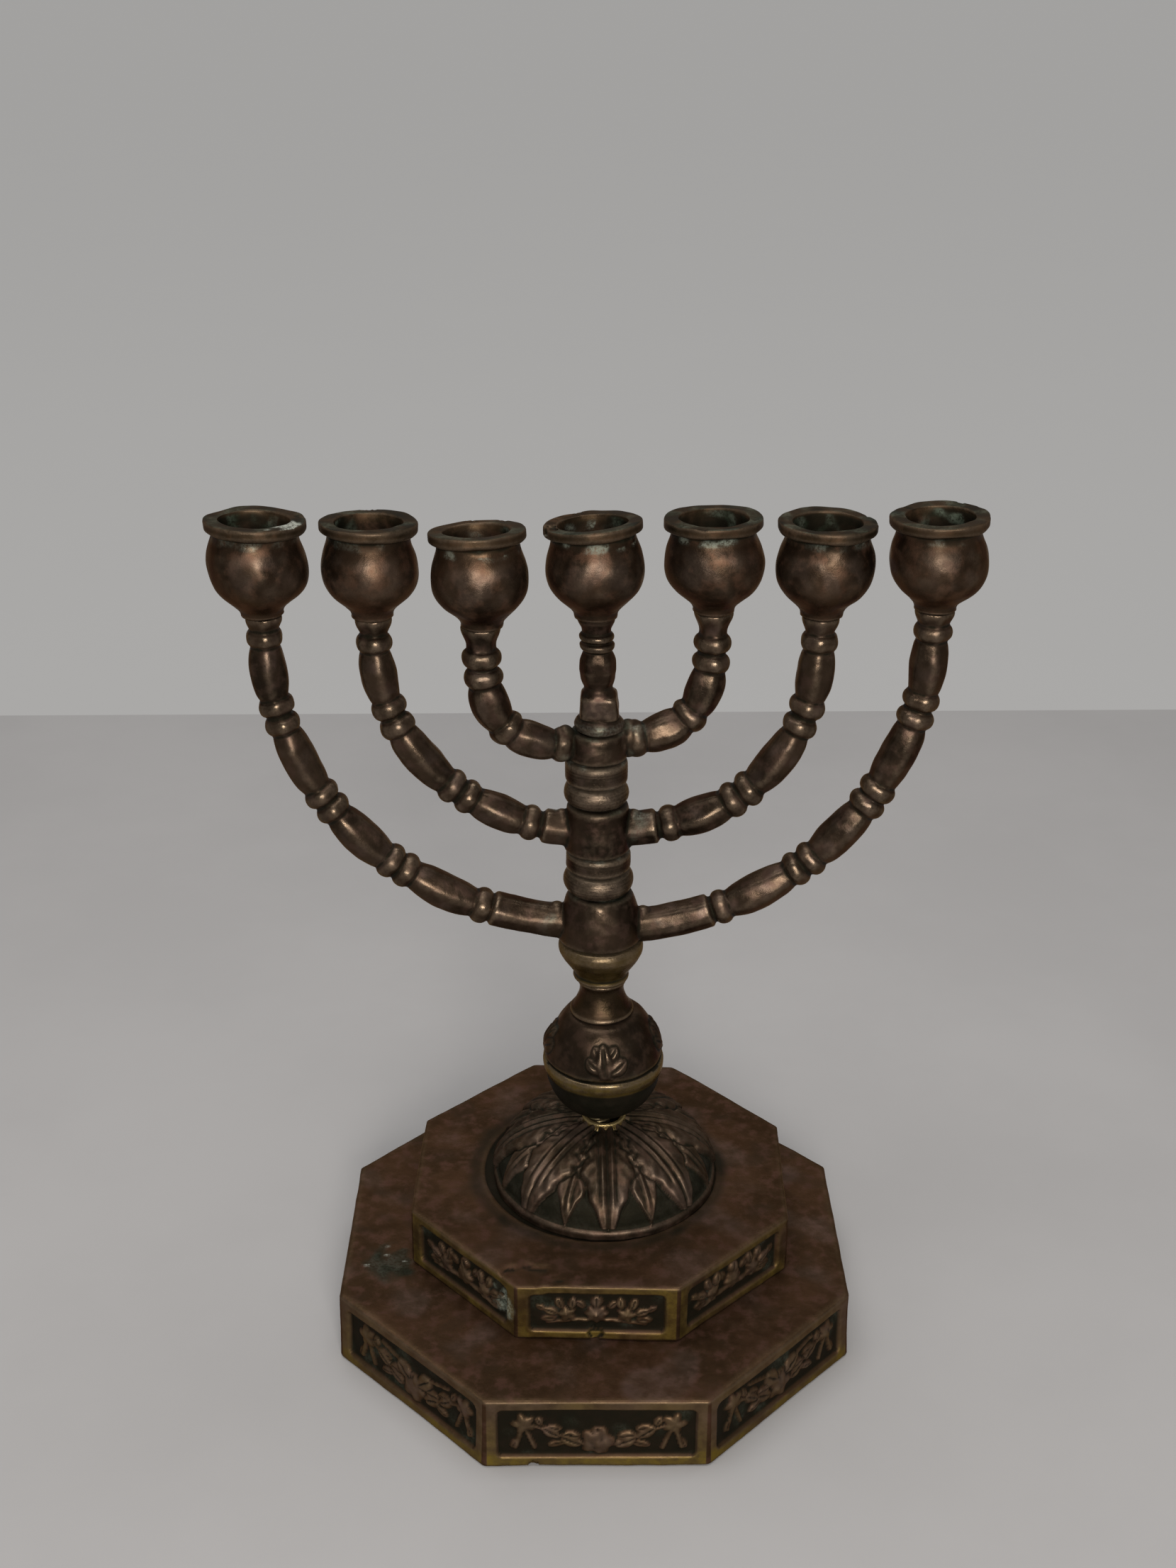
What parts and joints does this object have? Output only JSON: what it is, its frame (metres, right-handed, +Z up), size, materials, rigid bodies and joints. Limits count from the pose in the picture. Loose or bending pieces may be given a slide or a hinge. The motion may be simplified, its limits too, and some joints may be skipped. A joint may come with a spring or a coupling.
{
  "type": "menorah",
  "caption": "Free-standing branched candle stand: stepped octagonal base, leafed dome, knopped stem, swivelling curved arms and screw-on cups with round candle holes.",
  "frame": {"origin": "middle of the flat foot, on the surface it stands on", "axes": "+Z up along the stem, +X along the arms to the right, front faces -Y"},
  "size_m": [0.1396, 0.1002, 0.168],
  "materials": {
    "base_lower_tier": "dark brown patina, worn brass on the edges",
    "base_upper_tier": "dark brown patina, worn brass on the edges",
    "leaf_dome": "dark patina with green in the hollows",
    "dome_collar": "worn bright",
    "knop": "dark patina, worn bright on the band",
    "stem": "dark patina, worn on the swell",
    "rings": "dark patina with turned lines",
    "arms": "dark patina with green in the hollows",
    "cups": "reddish brown patina",
    "studs": "plain",
    "rod": "dull, threaded"
  },
  "bodies": {
    "stand": {"base_lower_tier": "base_lower_tier", "base_upper_tier": "base_upper_tier", "leaf_dome": "leaf_dome", "dome_collar": "dome_collar", "knop_bowl": "knop", "knop_shell": "knop", "neck_baluster": "stem", "stem_pear": "stem", "lower_round_ring": "rings", "lower_band_ring": "rings", "upper_round_ring": "rings", "upper_band_ring": "rings", "center_post": "arms", "tie_rod": "rod", "washer": "rod", "hex_nut": "rod"},
    "outer_pair": {"outer_arms": "arms"},
    "middle_pair": {"middle_arms": "arms"},
    "inner_pair": {"inner_arms": "arms"},
    "cup_1_screw": {"stud_1": "studs"},
    "cup_1_body": {"cup_1": "cups"},
    "cup_2_screw": {"stud_2": "studs"},
    "cup_2_body": {"cup_2": "cups"},
    "cup_3_screw": {"stud_3": "studs"},
    "cup_3_body": {"cup_3": "cups"},
    "cup_4_screw": {"stud_4": "studs"},
    "cup_4_body": {"cup_4": "cups"},
    "cup_5_screw": {"stud_5": "studs"},
    "cup_5_body": {"cup_5": "cups"},
    "cup_6_screw": {"stud_6": "studs"},
    "cup_6_body": {"cup_6": "cups"},
    "cup_7_screw": {"stud_7": "studs"},
    "cup_7_body": {"cup_7": "cups"}
  },
  "joints": [
    {"name": "outer_swivel", "type": "hinge", "parent": "stand", "child": "outer_pair", "pos_m": [0, 0, 0.09], "axis": [0, 0, 1], "continuous": true},
    {"name": "middle_swivel", "type": "hinge", "parent": "stand", "child": "middle_pair", "pos_m": [0, 0, 0.1085], "axis": [0, 0, 1], "continuous": true},
    {"name": "inner_swivel", "type": "hinge", "parent": "stand", "child": "inner_pair", "pos_m": [0, 0, 0.126], "axis": [0, 0, 1], "continuous": true},
    {"name": "cup_1_rise", "type": "slide", "parent": "outer_pair", "child": "cup_1_screw", "axis": [0, 0, 1], "range_m": [0, 0.004]},
    {"name": "cup_1_turn", "type": "hinge", "parent": "cup_1_screw", "child": "cup_1_body", "pos_m": [-0.0608, 0, 0.1504], "axis": [0, 0, 1], "range_deg": [0, 2880]},
    {"name": "cup_2_rise", "type": "slide", "parent": "middle_pair", "child": "cup_2_screw", "axis": [0, 0, 1], "range_m": [0, 0.004]},
    {"name": "cup_2_turn", "type": "hinge", "parent": "cup_2_screw", "child": "cup_2_body", "pos_m": [-0.04069, 0.00107, 0.1504], "axis": [0, 0, 1], "range_deg": [0, 2880]},
    {"name": "cup_3_rise", "type": "slide", "parent": "inner_pair", "child": "cup_3_screw", "axis": [0, 0, 1], "range_m": [0, 0.004]},
    {"name": "cup_3_turn", "type": "hinge", "parent": "cup_3_screw", "child": "cup_3_body", "pos_m": [-0.02099, -0.00295, 0.1504], "axis": [0, 0, 1], "range_deg": [0, 2880]},
    {"name": "cup_4_rise", "type": "slide", "parent": "stand", "child": "cup_4_screw", "axis": [0, 0, 1], "range_m": [0, 0.004]},
    {"name": "cup_4_turn", "type": "hinge", "parent": "cup_4_screw", "child": "cup_4_body", "pos_m": [0, 0, 0.1504], "axis": [0, 0, 1], "range_deg": [0, 2880]},
    {"name": "cup_5_rise", "type": "slide", "parent": "inner_pair", "child": "cup_5_screw", "axis": [0, 0, 1], "range_m": [0, 0.004]},
    {"name": "cup_5_turn", "type": "hinge", "parent": "cup_5_screw", "child": "cup_5_body", "pos_m": [0.02099, 0.00295, 0.1504], "axis": [0, 0, 1], "range_deg": [0, 2880]},
    {"name": "cup_6_rise", "type": "slide", "parent": "middle_pair", "child": "cup_6_screw", "axis": [0, 0, 1], "range_m": [0, 0.004]},
    {"name": "cup_6_turn", "type": "hinge", "parent": "cup_6_screw", "child": "cup_6_body", "pos_m": [0.04069, -0.00107, 0.1504], "axis": [0, 0, 1], "range_deg": [0, 2880]},
    {"name": "cup_7_rise", "type": "slide", "parent": "outer_pair", "child": "cup_7_screw", "axis": [0, 0, 1], "range_m": [0, 0.004]},
    {"name": "cup_7_turn", "type": "hinge", "parent": "cup_7_screw", "child": "cup_7_body", "pos_m": [0.0608, 0, 0.1504], "axis": [0, 0, 1], "range_deg": [0, 2880]}
  ],
  "couplings": [
    {"joint": "cup_1_turn", "follows": "cup_1_rise", "rad_per_m": 12566},
    {"joint": "cup_2_turn", "follows": "cup_2_rise", "rad_per_m": 12566},
    {"joint": "cup_3_turn", "follows": "cup_3_rise", "rad_per_m": 12566},
    {"joint": "cup_4_turn", "follows": "cup_4_rise", "rad_per_m": 12566},
    {"joint": "cup_5_turn", "follows": "cup_5_rise", "rad_per_m": 12566},
    {"joint": "cup_6_turn", "follows": "cup_6_rise", "rad_per_m": 12566},
    {"joint": "cup_7_turn", "follows": "cup_7_rise", "rad_per_m": 12566}
  ]
}
